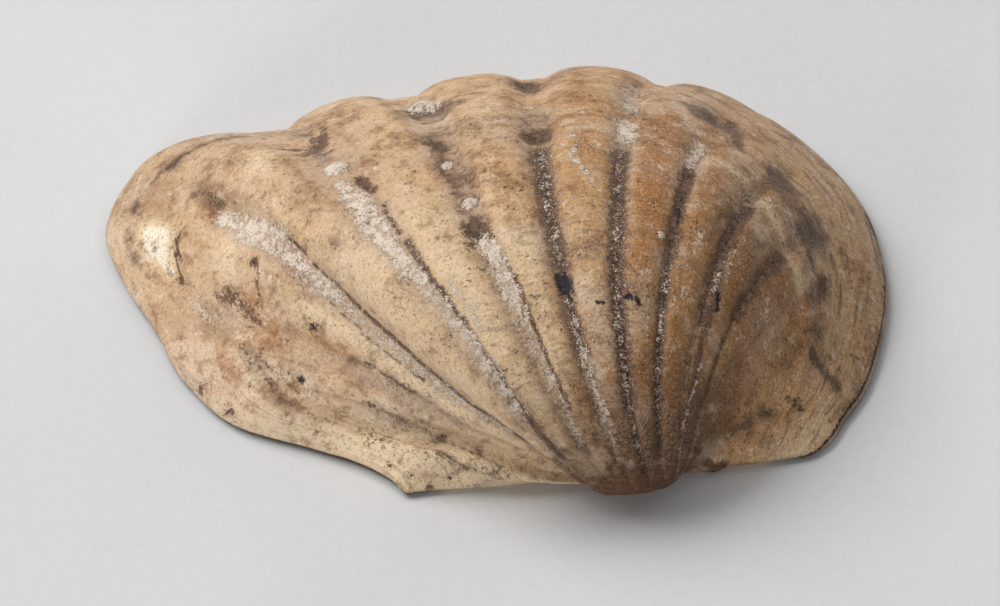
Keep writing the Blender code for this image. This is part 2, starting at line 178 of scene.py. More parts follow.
BLOTCH = [                  # soft grey-violet stains of the ring and the right lobe
    (0.9, 1.05, (5.7, 18), (5.98, 19.5)), (0.8, 1.1, (7.02, 22.5)),
    (0.85, 1.15, (8, 22), (7.9, 24)), (0.58, 1.1, (8.8, 24.5)), (0.32, 0.8, (9.55, 25)),
    (0.75, 0.55, (5.9, 23), (6.5, 24.5), (7.5, 26), (8.4, 27), (9.2, 28), (9.7, 26)),
    (0.45, 0.7, (6.7, 41), (6.75, 47)), (0.4, 0.75, (7.55, 42)), (0.5, 0.55, (6.6, 30)),
    (0.2, 1, (9.94, 28), (10.19, 22), (10.39, 14), (10.64, 8)), (0.4, 0.75, (11.34, 38), (11, 52)),
    (0.45, 0.75, (11.3, 62), (11.2, 74)), (0.4, 0.55, (4.86, 11), (4.95, 18)),
    (0.45, 0.55, (2.9, 26), (2.95, 32)),
    (0.45, 0.4, (-0.64, 33), (-0.98, 32), (-1.19, 29), (-1.28, 30)),
    (0.5, 0.4, (-0.4, 24), (-0.1, 22)), (0.6, 0.5, (7.8, 96), (8.2, 112)),
    (0.45, 0.5, (10, 5), (10.4, 3)), (0.3, 0.7, (10.8, 62), (11.6, 52)),
    (0.24, 0.62, (0.24, 34), (0.33, 38), (0.34, 45), (0.37, 54), (0.1, 58)),
    (0.32, 0.62, (1.74, 8), (1.5, 7), (1.31, 6), (1.07, 4.2), (0.85, 3.4)),
    (0.26, 0.5, (0.78, 3), (0.6, 2.2), (0.44, 2.8)), (0.55, 0.6, (2.14, 9), (2.02, 12)),
    (0.95, 0.95, (2.94, 15), (3.08, 16.5)), (0.42, 0.62, (-1, 9), (-1.1, 13)),
    (0.46, 0.74, (2.02, 82), (2.05, 100), (2.05, 120)),
    (0.3, 0.66, (0.96, 72), (0.97, 98), (0.98, 122)), (0.4, 0.6, (3.06, 96), (3.06, 120)),
    (0.24, 0.5, (0.04, 33), (-0.07, 38), (-0.27, 43), (-1.12, 37), (-1.55, 40)),
    (0.14, 0.75, (-0.67, 31), (-0.95, 33), (-1.23, 30), (-1.43, 34), (-1.59, 42)),
    (0.14, 0.7, (-1.33, 15), (-1.57, 16), (-1.76, 24), (-1.85, 37)),
    (0.42, 0.55, (-0.14, 11), (-0.5, 13), (-0.96, 12)), (0.6, 0.66, (1.16, 11.5), (1.16, 15.5)),
    (0.5, 0.8, (2.92, 25), (2.93, 33)), (0.45, 0.75, (2.93, 36), (2.95, 46)),
    (0.45, 0.7, (2.02, 20), (1.98, 24)), (0.6, 0.5, (4.4, 152), (5.6, 152)),
]
PALE = [                    # cream where it is rubbed or flaked, and painted light down the low front of ribs 2 to 4 and along the rolled lower edge of the right lobe
    (0.5, 1.7, (0.74, 5.2), (0.74, 7.6)), (0.5, 1.7, (0.62, 5), (0.62, 6.8)),
    (0.34, 1.7, (0.52, 6.2), (0.46, 6.7)), (0.9, 0.9, (1.62, 17), (1.55, 21)),
    (0.85, 1, (0.68, 16.5), (0.85, 17)), (0.65, 0.6, (0.22, 7.5), (0.1, 9)),
    (0.85, 0.62, (1.34, 22), (1.3, 36)),
    (0.34, 0.88, (6.15, 33.5), (6.77, 32), (7.3, 33.5), (7.99, 34.5), (8.8, 35)),
    (0.46, 1.05, (0.6, 29), (0.64, 36), (0.68, 42), (0.64, 53), (0.6, 64)),
    # the rows on the low front of ribs 2 to 4, on this line and the next, are also painted light on
    # faces that turn toward the front
    (0.8, 0.8, (2.5, 56), (2.55, 78)), (0.5, 0.6, (2.55, 74), (2.6, 95)),
    (0.7, 0.75, (3.52, 56), (3.55, 86)), (0.5, 0.5, (4.45, 52), (4.48, 76)),
    (0.45, 0.5, (4.35, 34), (4.45, 40), (4.62, 47)), (0.5, 0.55, (3.3, 26), (3.5, 25)),
    (0.8, 0.55, (1.35, 8), (1.1, 10)), (0.45, 0.55, (2.35, 30), (2.42, 36)),
    (0.35, 0.6, (1.15, 2.5), (0.9, 1.5), (0.7, 1)), (0.5, 0.55, (1.45, 45), (1.42, 56)),
    (0.45, 0.45, (-0.35, 6), (-0.7, 4)), (0.55, 0.75, (-0.35, 44), (-0.8, 46), (-1.15, 52)),
    (0.6, 0.7, (-1.75, 3), (-1.9, 8)), (0.5, 0.8, (-1.95, 14), (-1.95, 48)),
    # the last row on the next line, along the rolled lower edge of the right lobe, is painted light
    (0.7, 0.8, (-1.5, 35), (-1.4, 52)), (0.7, 0.75, (11.6, 4), (12.3, 10), (12.45, 22)),
    (0.6, 0.6, (8.3, 3), (7.6, 3)), (0.55, 0.5, (10.3, 30), (10.6, 44)),
]
RUST = [                    # ochre and orange where iron soaked in
    (0.8, 0.95, (5.5, 26), (5.52, 44), (5.45, 62)), (0.55, 0.75, (4.5, 34), (4.5, 46)),
    (0.6, 0.8, (4.45, 14), (4.45, 24)), (0.6, 0.62, (3.5, 34), (3.42, 50)),
    (0.28, 0.75, (7.62, 50), (7.6, 62)), (0.6, 0.5, (1.5, 17), (1.45, 24)),
    (0.4, 0.85, (1.1, 12), (1.04, 14)), (0.5, 0.7, (6.4, 36), (6.38, 50)),
    (0.6, 0.6, (4.5, 21), (4.48, 30)), (0.5, 0.7, (0.38, 30), (0.1, 30)),
    (0.4, 0.55, (-0.3, 26), (-0.6, 24)), (0.75, 0.82, (0.42, 17.5), (0.18, 17.5), (0.02, 12)),
    (0.55, 0.8, (-0.42, 7.6), (-0.72, 7)), (0.6, 0.85, (-1.02, 9.5), (-1.1, 15)),
    (0.35, 0.65, (0.34, 33), (0.42, 36)), (0.5, 0.85, (-1.22, 14), (-1.4, 17), (-1.52, 20)),
    (0.3, 0.65, (2.86, 30), (2.88, 38)), (0.45, 0.55, (4.5, 82), (4.5, 100)),
    (0.35, 0.6, (5.4, 84), (5.42, 104)), (0.32, 0.5, (6.4, 80), (6.4, 110)),
    (0.5, 0.6, (-0.85, 2.5), (-1.2, 4)), (0.3, 0.7, (2.72, 52), (2.7, 56)),
    (0.4, 0.5, (9.9, 4), (9.4, 2)),
]
MARKS = {"lime": LIME, "clay": CLAY, "ink": INK_AND_RIM_SHADOW, "blotch": BLOTCH, "pale": PALE, "rust": RUST}

TONES = [                               # ground colour of the shell by groove, low ribs first
    (0.0, "#EDD4B6"), (0.10, "#D5B799"), (0.17, "#D1B291"), (0.24, "#CDAA85"),
    (0.33, "#D5AF85"), (0.42, "#C69B6C"), (0.49, "#BE8B57"), (0.56, "#A0703F"),
    (0.64, "#9D7049"), (0.74, "#B07E52"), (0.85, "#C69362"), (1.00, "#CB9C6B"),
]

# Small knobs and pits: groove, swing, radius and height in mm.
KNOBS = [
    (2.02, 26.5, 0.5, 0.24), (3.02, 13.8, 0.56, 0.32), (2.96, 33, 0.2, 0.09),
    (2.99, 43, 0.2, 0.13), (1.02, 20, 0.32, 0.11), (1.08, 26, 0.36, 0.13),
    (1, 30.5, 0.3, 0.1), (1.02, 35, 0.3, 0.09), (1.93, 38, 0.4, 0.08),
    (1.92, 46, 0.35, 0.08), (3.02, 55, 0.35, 0.07), (5.82, 56, 0.13, 0.1),
    (0.62, 6.2, 0.6, 0.12), (0.7, 16, 0.8, 0.1),
    (0.78, 21, 0.2, -0.18), (0.43, 28.6, 0.15, -0.14), (-0.61, 19.5, 0.22, -0.2),
    (2.12, 32, 0.26, -0.13), (2.05, 15.5, 0.28, -0.12), (3.01, 22.5, 0.32, -0.14),
    (2.9, 28, 0.3, -0.08), (2.93, 50, 0.4, -0.08), (3.95, 11, 0.5, -0.16),
    (4, 31, 0.42, -0.12), (5.9, 19, 0.7, -0.1), (7.02, 22.5, 0.6, -0.1),
    (8, 22.5, 0.6, -0.1), (8.8, 24.5, 0.42, -0.08), (1.08, 13.5, 0.4, -0.12),
    (10.2, 20, 0.35, -0.08), (0.41, 7.4, 0.22, -0.12), (0.35, 14, 0.5, -0.12),
]

# ---------------------------------------------------------------- growth, step by step
# Each row is a result, a word for what is done, and what it is done to; see steps().
SPIRAL = [
    # size of the growing outline and how far it has swung about the hinge
    ("u", "plus", "column", 0.5),
    ("v", "plus", "row", 0.5),
    ("end", "radians", "Swing End"),
    ("end_drop", "times", "end", "Shrink", -1),
    ("end_size", "exp", "end_drop"),
    ("lost", "minus", 1, "end_size"),
    ("lost", "times", "lost", "v"),
    ("size", "minus", 1, "lost"),
    ("turn", "log", "size", math.e),
    ("turn", "over", "turn", "Shrink"),
    ("turn", "times", "turn", -1),
    ("swing", "degrees", "turn"),
    ("lift", "sine", "turn"),
    ("lean", "cosine", "turn"),
    # bearing of each column: the columns follow the ribs and crowd into the grooves
    ("pitch_loss", "times", "Twist Gain", "lift"),
    ("pitch", "minus", "Rib Pitch", "pitch_loss"),
    ("first", "times_plus", "Rib Twist", "lift", "Rib First"),
    ("left", "range", "u", 0, LEFT_SHARE, 1, 0),
    ("count", "range", "u", LEFT_SHARE, RIGHT_SHARE, RIB_LOW, RIB_HIGH),
    ("right", "range", "u", RIGHT_SHARE, 1),
    ("wave", "times", "count", 2 * math.pi),
    ("wave", "sine", "wave"),
    ("count", "times_plus", "wave", -CROWD / (2 * math.pi), "count"),
    ("share", "plus", "count", 2),
    ("share", "over", "share", GROOVE_SPAN),
]
BEARINGS = [
    ("place", "times", "place", GROOVE_SPAN),
    ("place", "minus", "place", 2),
    ("sag", "smooth", "swing", 20, 70),
    ("sag_here", "smooth", "count", 1, 2, 1, 0),
    ("sag", "times", "sag", "sag_here", "Rib Sag"),
    ("place", "minus", "place", "sag"),
    ("span", "times", "place", "pitch"),
    ("bearing", "minus", "first", "span"),
    ("to_line", "minus", 180, "bearing"),
    ("bearing", "times_plus", "to_line", "left", "bearing"),
    ("keep", "minus", 1, "right"),
    ("bearing", "times", "bearing", "keep"),
    ("groove", "minus", "count", "left"),
    ("groove", "times_plus", "right", 3, "groove"),
    ("bearing_share", "over", "bearing", 180),
    ("groove_share", "plus", "groove", 2),
    ("groove_share", "over", "groove_share", GROOVE_SPAN),
    ("wander_line", "times", "groove", 0.45),
    ("wander_ring", "times", "swing", 0.075),
    ("wander_at", "join", "wander_line", "wander_ring", 0),
    ("wander", "noise", "wander_at", 1, 2),
    ("ring_line", "times", "groove", 0.35),
    ("ring_ring", "times", "swing", 0.55),
    ("ring_at", "join", "ring_line", "ring_ring", 0),
    ("growth_lines", "noise", "ring_at", 1, 3, 0.6),
]
RELIEF = [
    # ribs
    ("middle", "nearest", "groove"),
    ("away", "minus", "groove", "middle"),
    ("wobble", "minus", "wander", 0.5),
    ("away", "times_plus", "wobble", 0.16, "away"),
    ("aside", "size_of", "away"),
    ("flat", "smooth", "groove", 1, 6, 0.15, 0.07),
    ("slope_run", "minus", 0.5, "flat"),
    ("climb", "minus", "aside", "flat"),
    ("climb", "over", "climb", "slope_run"),
    ("climb", "most", "climb", 0),
    ("short", "minus", 1, "climb"),
    ("short", "most", "short", 0),
    ("cut", "power", "short", 2.9),
    ("on_right", "smooth", "groove", 5.2, 6.2),
    ("on_left", "smooth", "groove", 1.2, 2.6, 1, 0),
    ("rim_fade", "smooth", "swing", 5, 15, 0.7, 0),
    ("rim_fade", "times", "rim_fade", "on_left"),
    ("rim_fade", "minus", 1, "rim_fade"),
    ("outside_ridge", "smooth", "swing", 21, 33, 1, 0),
    ("fade", "times", "on_right", "outside_ridge"),
    ("fade", "minus", 1, "fade"),
    ("beak_fade", "smooth", "swing", 140, 165, 1, 0),
    ("floor", "times", "cut", "strength", "fade", "beak_fade", "rim_fade"),
    ("height", "times", "floor", "Rib Depth", -1),
    # the halted ring, stronger on the left wing
    ("sway", "times", "groove", 2.3),
    ("sway", "sine", "sway"),
    ("sway", "times", "sway", "on_left"),
    ("ring", "times_plus", "sway", 1.5, "Ring Swing"),
    ("ring_low", "minus", "ring", 2.5),
    ("ring_high", "plus", "ring", 2.5),
    ("outside_ring", "smooth", "swing", "ring_low", "ring_high", 1, 0),
    ("ring_size", "times_plus", "on_left", 0.8, 1),
    ("ring_size", "times", "ring_size", "Ring Step"),
    ("ring_drop", "times", "ring_size", "outside_ring"),
    ("height", "minus", "height", "ring_drop"),
    # raised line where the right-hand grooves end
    ("ridge", "bell", "swing", "Ridge Swing", 2.6),
    ("ridge", "times", "ridge", "on_right"),
    ("height", "times_plus", "ridge", "Ridge Height", "height"),
    ("apron", "smooth", "swing", 25, 31, 0.1, 0),
    ("apron", "times", "apron", "on_right"),
    ("height", "minus", "height", "apron"),
    # a pit in each groove at the ring
    ("pit_width", "times_plus", "on_right", 0.1, 0.16),
    ("pit", "bell", "away", 0, "pit_width"),
    ("pit_centre", "minus", "Ring Swing", 1.5),
    ("pit_ring", "bell", "swing", "pit_centre", 3.2),
    ("pit", "times", "pit", "pit_ring"),
    ("in_ribs", "smooth", "groove", 0.4, 0.6),
    ("in_lobe", "smooth", "groove", 9.2, 9.6, 1, 0),
    ("pit", "times", "pit", "in_ribs", "in_lobe"),
    ("pit_depth", "times_plus", "on_right", -0.35, 1),
    ("pit_depth", "times", "pit_depth", "Pit Depth"),
    ("pit_drop", "times", "pit", "pit_depth"),
    ("height", "minus", "height", "pit_drop"),
    # line that sets off the rim of the left wing
    ("rim_line", "smooth", "groove", 0.2, 1.9, 4, 9.5),
    ("rim_place", "bell", "groove", 1, 1.1),
    ("rim_cut", "bell", "swing", "rim_line", 1.7),
    ("rim_cut", "times", "rim_cut", "rim_place"),
    ("height", "times_plus", "rim_cut", -0.22, "height"),
    # fine growth lines across the ribs, strongest low on the left
    ("lines", "minus", "growth_lines", 0.5),
    ("line_height", "smooth", "groove", -0.6, 0.5, 0.2, 0.11),
    ("line_height", "times", "line_height", "lines"),
    ("height", "plus", "height", "line_height"),
]
BENT_HINGE = [
    ("on_wing", "below", "x", 0),
    ("slope", "times_plus", "on_wing", HINGE_SLOPE_LEFT - HINGE_SLOPE_RIGHT, HINGE_SLOPE_RIGHT),
    ("hinge", "times", "x", "slope"),
]
HANG = [
    ("hang_left", "smooth", "x", -9, -5),
    ("hang", "smooth", "x", 3.5, 5.5, 1, 0),
    ("hang", "times", "hang", "hang_left"),
]
FORM = [
    # all relief dies out where the surface folds at the right end of the hinge
    ("hinge_fade", "smooth", "bearing", 4, 18),
    ("height", "times", "height", "hinge_fade"),
    ("shrunk", "power", "size", 0.75),
    ("grown", "times", "full", "size"),
    ("radius", "times_plus", "height", "shrunk", "grown"),
    ("angle", "radians", "bearing"),
    ("cos", "cosine", "angle"),
    ("sin", "sine", "angle"),
    ("x", "times", "radius", "cos"),
    ("rise", "times", "radius", "sin"),
    ("rise", "most", "rise", 0),
] + BENT_HINGE + [
    ("y", "times_plus", "rise", "lean", "hinge"),
    ("z", "times", "rise", "lift"),
    # chalky band along the left of the hinge
    ("band_end", "smooth", "swing", 0, 14, 0.3, 1),
    ("root", "root", "size"),
    ("thick", "times", "band_end", "root", "Band Height"),
    ("swell", "smooth", "left", 0.25, 0.65),
    ("swell_off", "smooth", "left", 0.8, 1, 1, 0),
    ("thick", "times", "thick", "swell", "swell_off"),
    ("forward", "times", "thick", "lift"),
    ("y", "minus", "y", "forward"),
    ("z", "times_plus", "thick", "lean", "z"),
    # small ledge of the hinge under the right lobe
    ("ledge", "smooth", "bearing", 5, 13, 0.3, 0),
    ("ledge_in", "smooth", "x", 0, 0.8),
    ("ledge_out", "smooth", "x", 2.2, 3, 1, 0),
    ("ledge", "times", "ledge", "ledge_in", "ledge_out"),
    ("y", "minus", "y", "ledge"),
] + HANG + [
    # the hinge margin hangs over on both sides of the beak
    ("hang_low", "smooth", "rise", 0, 2, 1, 0),
    ("hang", "times", "hang", "hang_low", "Hang Forward"),
    ("y", "minus", "y", "hang"),
    # the margin rolls over before it meets the ground
    ("inset", "minus", 1, "size"),
    ("inset", "times", "inset", "full"),
    ("inset", "over", "inset", "Roll Run"),
    ("inset", "least", "inset", 1),
    ("inset", "minus", 1, "inset"),
    ("inset", "times", "inset", "inset"),
    ("roll", "minus", 1, "inset"),
    ("roll", "root", "roll"),
    ("roll", "times", "roll", "Roll"),
    ("roll_fade", "smooth", "swing", 35, 110, 1, 0.3),
    ("roll", "times", "roll", "roll_fade"),
    ("off_hinge", "smooth", "rise", 0, 0.9),
    ("roll", "times", "roll", "off_hinge"),
    ("z", "plus", "z", "roll"),
    ("z", "plus", "z", "Edge"),
    ("spot", "join", "x", "y", "z"),
]
WEATHER = [                             # grain and lumps of the weathered surface
    ("grain", "noise", "here", 2.6, 4, 0.7),
    ("lumps", "noise", "here", 0.32, 2),
    ("grain", "minus", "grain", 0.5),
    ("lumps", "minus", "lumps", 0.5),
    ("push", "times", "lumps", 0.3),
    ("push", "times_plus", "grain", 0.1, "push"),
    ("low", "smooth", "swing", 0, 6),
    ("push", "times", "push", "low", "hinge_fade"),
    ("push", "scale", "out", "push"),
]
FOOT = BENT_HINGE + HANG + [            # where the border meets the ground
    ("hinge", "times_plus", "hang", HANG_BACK, "hinge"),
    ("y", "most", "y", "hinge"),
    ("foot", "join", "x", "y", 0),
    ("arm", "less", "foot", HOLLOW_CENTRE),
    ("reach", "length", "arm"),
    ("keep", "over", -FOOT_INSET, "reach"),
    ("inset", "scale", "arm", "keep"),
    ("foot", "offset", "foot", "inset"),
]
INWARD = [                              # from the foot toward the middle of the hollow
    ("arm", "less", "foot", HOLLOW_CENTRE),
    ("reach", "length", "arm"),
    ("inner", "minus", "reach", RIM_WIDTH),
    ("inner", "over", "inner", "reach"),
    ("wave", "times", "groove", 2 * math.pi),
    ("wave", "cosine", "wave"),
    ("share", "plus", "groove", 2),
    ("share", "over", "share", GROOVE_SPAN),
]

# ---------------------------------------------------------------- colour, step by step
# The numbers after "mm" are per millimetre.
PATTERNS = [
    ("broad", "noise", "mm", 0.22, 2, 0.5),              # stains 4 to 6 mm wide
    ("patch", "noise", "mm", 0.6, 4, 0.62),              # patches of 1 to 2 mm
    ("mottle", "noise", "mm", 1.5, 5, 0.66),             # mottling of 0.7 mm
    ("grit", "noise", "mm", 3.6, 3, 0.6),                # crumbs of 0.3 mm
    ("pores", "noise", "mm", 5.5, 2, 0.5),               # pinpricks of 0.05 mm, drawn 0.2 mm wide
    ("fine", "noise", "mm", 8, 3, 0.65),                 # grain of 0.12 mm
    ("dust", "noise", "mm", 14, 2, 0.7),                 # salt and pepper of 0.07 mm
    ("line_groove", "times", "groove", 1.3),
    ("line_swing", "times", "swing", 0.65),
    ("line_at", "join", "line_groove", "line_swing", 0),
    ("ring_lines", "noise", "line_at", 1, 4, 0.62),
    ("groove_share", "range", "groove", -2, 13),
    ("rag", "minus", "fine", 0.5),
    ("salts", "minus", "dust", 0.5),
    ("crumbs", "minus", "grit", 0.5),
    ("lumps", "minus", "mottle", 0.5),
    ("clouds", "minus", "patch", 0.5),
]
COLOURS = [
    # the right lobe outside the end of its grooves
    ("lobe", "smooth", "groove", 5.2, 6.6),
    ("lobe_in", "smooth", "swing", 34, 22, 0, 0.9),
    ("lobe", "times", "lobe", "lobe_in"),
    ("tone", "paint", "lobe", "#C6A077"),
    # brown soaked into the beak
    ("umbo_from", "smooth", "groove", 5.5, 9, 66, 54),
    ("umbo_left", "smooth", "groove", 2, 4.8, 11, 0),
    ("umbo_from", "plus", "umbo_from", "umbo_left"),
    ("umbo", "minus", "swing", "umbo_from"),
    ("umbo", "over", "umbo", 62),
    ("umbo", "times_plus", "clouds", 0.9, "umbo"),
    ("umbo", "cover", "#543C29", "umbo", 0.02, 0.9, 0.94),
    ("off_umbo", "minus", 1, "umbo"),
    ("umbo_grit", "cover", "#38261B", "grit", 0.47, 0.6, 0.62, "umbo"),
    ("umbo_speck", "cover", "#A5876A", "fine", 0.51, 0.61, 0.66, "umbo"),
    # golden brown down the sides of the ribs, partly their own tone and partly painted shade toward
    # the groove floors; the crests stay paler
    ("side", "bell", "floor", 0.42, 0.2),
    ("side", "times", "side", 0.44),
    ("tone", "paint", "side", "#96683A"),
    # patches: browner, pinker, greyer
    ("brown_most", "smooth", "groove", 1, 4, 0.42, 0.72),
    ("brown", "cover", "#8F6238", "patch", 0.51, 0.64, "brown_most"),
    ("pink", "cover", "#DCC1A6", "patch", 0.47, 0.36, 0.42),
    ("grey", "cover", "#C9B49E", "broad", 0.47, 0.36, 0.35),
    ("gold", "cover", "#D0A470", "broad", 0.52, 0.62, 0.28, "off_umbo"),
    # ochre stains
    ("iron", "sum", "rust", "lumps", 1.5, "crumbs", 0.9),
    ("iron", "cover", "#A86D34", "iron", 0.22, 1.05, 0.8),
    # rubbed cream, and painted light on the low front of ribs 2 to 4 and on the rolled lower edge
    # of the right lobe
    ("rubbed", "sum", "pale", "lumps", 1.3, "crumbs", 0.9),
    ("rubbed", "cover", "#EBCFA9", "rubbed", 0.25, 1.05, 0.8),
    # where a flake came off, fresh cream
    ("flaked", "times_plus", "lumps", 0.9, "pale"),
    ("flaked", "cover", "#F7E9D2", "flaked", 1.02, 1.26, 0.85),
    # painted light: paler down the front-facing low parts of the left ribs, and along the hinge
    # band, where it is also the band's own chalky pallor
    ("front_light_and_chalk", "smooth", "swing", 28, 52, 0, 0.42),
    ("front_light_left", "smooth", "groove", 4, 2.4),
    ("front_light_and_chalk", "times", "front_light_and_chalk", "front_light_left"),
    ("band_chalk_and_light", "smooth", "groove", -0.8, -1.5, 0, 0.78),
    ("front_light_and_chalk", "most", "front_light_and_chalk", "band_chalk_and_light"),
    ("front_light_and_chalk", "times", "front_light_and_chalk", "off_umbo"),
    ("tone", "paint", "front_light_and_chalk", "#EED3AC"),
    # growth lines
    ("lobe_lines", "times", "lobe", 0.3),
    ("line_most", "smooth", "groove", 0.2, -0.5, 0.24, 0.36),
    ("line_most", "plus", "line_most", "lobe_lines"),
    ("rib_lines", "smooth", "groove", 2.6, 5, 0, 0.3),
    ("line_most", "plus", "line_most", "rib_lines"),
    ("band", "cover", "#80604A", "ring_lines", 0.52, 0.66, 1, "line_most"),
    # mottling, then a whitish bloom that the grain breaks up
    ("spotty", "times_plus", "rag", 0.35, "mottle"),
    ("spotty", "cover", "#7D5630", "spotty", 0.53, 0.68, 0.62),
    ("bloom", "smooth", "mottle", 0.46, 0.33, 0, 0.66),
    ("bloom_grain", "times_plus", "crumbs", 0.8, "fine"),
    ("bloom_grain", "smooth", "bloom_grain", 0.42, 0.6),
    ("bloom", "times", "bloom", "bloom_grain", "off_umbo"),
    ("tone", "paint", "bloom", "#E8D6C0"),
    ("grain", "cover", "#65462C", "fine", 0.47, 0.31, 0.52),
    ("salt", "cover", "#E8DACA", "fine", 0.56, 0.7, 0.34, "off_umbo"),
    # flecks, in clusters
    ("fleck", "times_plus", "clouds", 0.55, "grit"),
    ("fleck", "cover", "#5A3B25", "fleck", 0.61, 0.75, 0.56),
    # stains of the ring and the right lobe
    ("stain", "sum", "blotch", "lumps", 1.2, "clouds", 0.6, "rag", 0.6),
    ("stain", "cover", "#523D32", "stain", 0.2, 0.9, 0.87),
    # silt over the groove floors
    ("silt_in", "smooth", "swing", 14, 32, 0.25, 1),
    ("silt", "times", "silt_in", "floor"),
    ("silt_beak", "smooth", "swing", 92, 138, 1, 0.4),
    ("silt", "times", "silt", "silt_beak"),
    ("silt", "sum", "silt", "rag", 1.3, "crumbs", 1),
    ("silt_most", "smooth", "groove", 2.4, 4.6, 0.45, 0.8),
    ("silt", "smooth", "silt", 0.32, 0.9, 0, "silt_most"),
    ("silt_tone", "smooth", "mottle", 0.4, 0.6),
    ("silt_tone", "mix", "silt_tone", "#9A7B62", "#5E4331"),
    ("silt_far", "smooth", "groove", 1.6, 3.4),
    ("silt_tone", "mix", "silt_far", "#B4957C", "silt_tone"),
    ("tone", "mix", "silt", "tone", "silt_tone"),
    ("silt_grain", "cover", "#3E2A1E", "fine", 0.48, 0.34, 0.55, "silt"),
    ("silt_salt", "cover", "#C9B5A2", "fine", 0.53, 0.64, 0.62, "silt"),
    # packed clay
    ("mud", "sum", "clay", "crumbs", 1.1, "rag", 1.2, "salts", 1),
    ("mud", "smooth", "mud", 0.36, 0.64, 0, 0.92),
    ("mud_tone", "smooth", "grit", 0.38, 0.62),
    ("mud_tone", "mix", "mud_tone", "#2E1D15", "#6A4B3A"),
    ("tone", "mix", "mud", "tone", "mud_tone"),
    # lime: full patches close up, thin ones break into speckle
    ("crumb", "sum", "lime", "rag", 1.3, "salts", 1.4, "crumbs", 0.8, "lumps", 0.8),
    ("crumb", "smooth", "crumb", 0.36, 0.69, 0, 0.88),
    ("lime_tone", "times_plus", "salts", 0.8, "grit"),
    ("lime_tone", "smooth", "lime_tone", 0.36, 0.6),
    ("lime_tone", "mix", "lime_tone", "#B49D8A", "#E4D4C5"),
    ("lime_dull", "times", "umbo", 0.75),
    ("lime_tone", "paint", "lime_dull", "#957D68"),
    ("tone", "mix", "crumb", "tone", "lime_tone"),
    # pinpricks over everything but the thickest lime
    ("prick", "times_plus", "clouds", 0.5, "pores"),
    ("prick_most", "smooth", "groove", 0.4, 2.4, 0.32, 0.62),
    ("prick", "cover", "#422C1D", "prick", 0.65, 0.75, "prick_most"),
    # salt and pepper
    ("pepper_most", "smooth", "groove", 1.5, 5, 0.08, 0.32),
    ("pepper", "cover", "#4C321E", "dust", 0.47, 0.33, "pepper_most"),
    ("pepper", "cover", "#EAD3B2", "dust", 0.54, 0.66, "pepper_most", 0.75),
    # painted shade: the tone is multiplied darker toward the underside of the beak
    ("painted_beak_shade", "smooth", "swing", 112, 144, 0, 0.6),
    ("tone", "shade", "painted_beak_shade", "tone", "#AC8A70"),
    # painted contact shadow: near black on the margin's lowest 0.16 to 0.34 mm, where it meets the
    # ground
    ("up", "along", "mm", (0, 0, 1)),
    ("painted_contact_shadow", "smooth", "up", 0.34, 0.16, 0, 0.86),
    ("contact_shadow_reach", "smooth", "swing", 14, 6),
    ("painted_contact_shadow", "times", "painted_contact_shadow", "contact_shadow_reach"),
    ("tone", "paint", "painted_contact_shadow", "#2A1F19"),
    # ink spots, and the painted contact shadow along the right rim
    ("drop", "times_plus", "rag", 1.3, "ink"),
    ("drop", "cover", "#1B1720", "drop", 0.4, 0.75, 0.95),
]
GLOSS = [
    # gloss and relief
    ("rough", "smooth", "mottle", 0.3, 0.7, 0.4, 0.58),
    ("rough", "times_plus", "crumb", 0.3, "rough"),
    ("relief", "times", "fine", 0.03),
    ("relief", "sum", "relief", "dust", 0.012, "mottle", 0.06, "grit", 0.046, "ring_lines", 0.045,
     "prick", -0.04, "mud", -0.03, "crumb", 0.02),
]
BOARD = [                               # scales are per metre
    ("clouds", "noise", "at", 60, 2, 0.5),               # clouds 15 mm wide
    ("grain", "noise", "at", 2500, 3, 0.6),              # paper grain of 0.4 mm
    ("shade", "times_plus", "grain", 0.5, "clouds"),
    ("shade", "smooth", "shade", 0.45, 1.05),
    ("tone", "mix", "shade", "#D2D2D3", "#D9D9D9"),
    ("relief", "times", "grain", 0.02),
]


def linear(code):
    """sRGB hex colour as linear RGBA."""
    parts = [int(code[i:i + 2], 16) / 255.0 for i in (1, 3, 5)]
    return tuple(c / 12.92 if c <= 0.04045 else ((c + 0.055) / 1.055) ** 2.4
                 for c in parts) + (1.0,)


def add(tree, kind, inputs=(), **settings):
    """Add a node; inputs go to its open sockets in order, or by name from a dict."""
    node = tree.nodes.new(kind)
    for name, value in settings.items():
        setattr(node, name, value)
    open_sockets = [s for s in node.inputs if s.enabled]
    if isinstance(inputs, dict):
        pairs = [(node.inputs[name], value) for name, value in inputs.items()]
    else:
        pairs = zip(open_sockets, inputs)
    for socket, value in pairs:
        if isinstance(value, bpy.types.NodeSocket):
            tree.links.new(value, socket)
        else:
            socket.default_value = value
    return node


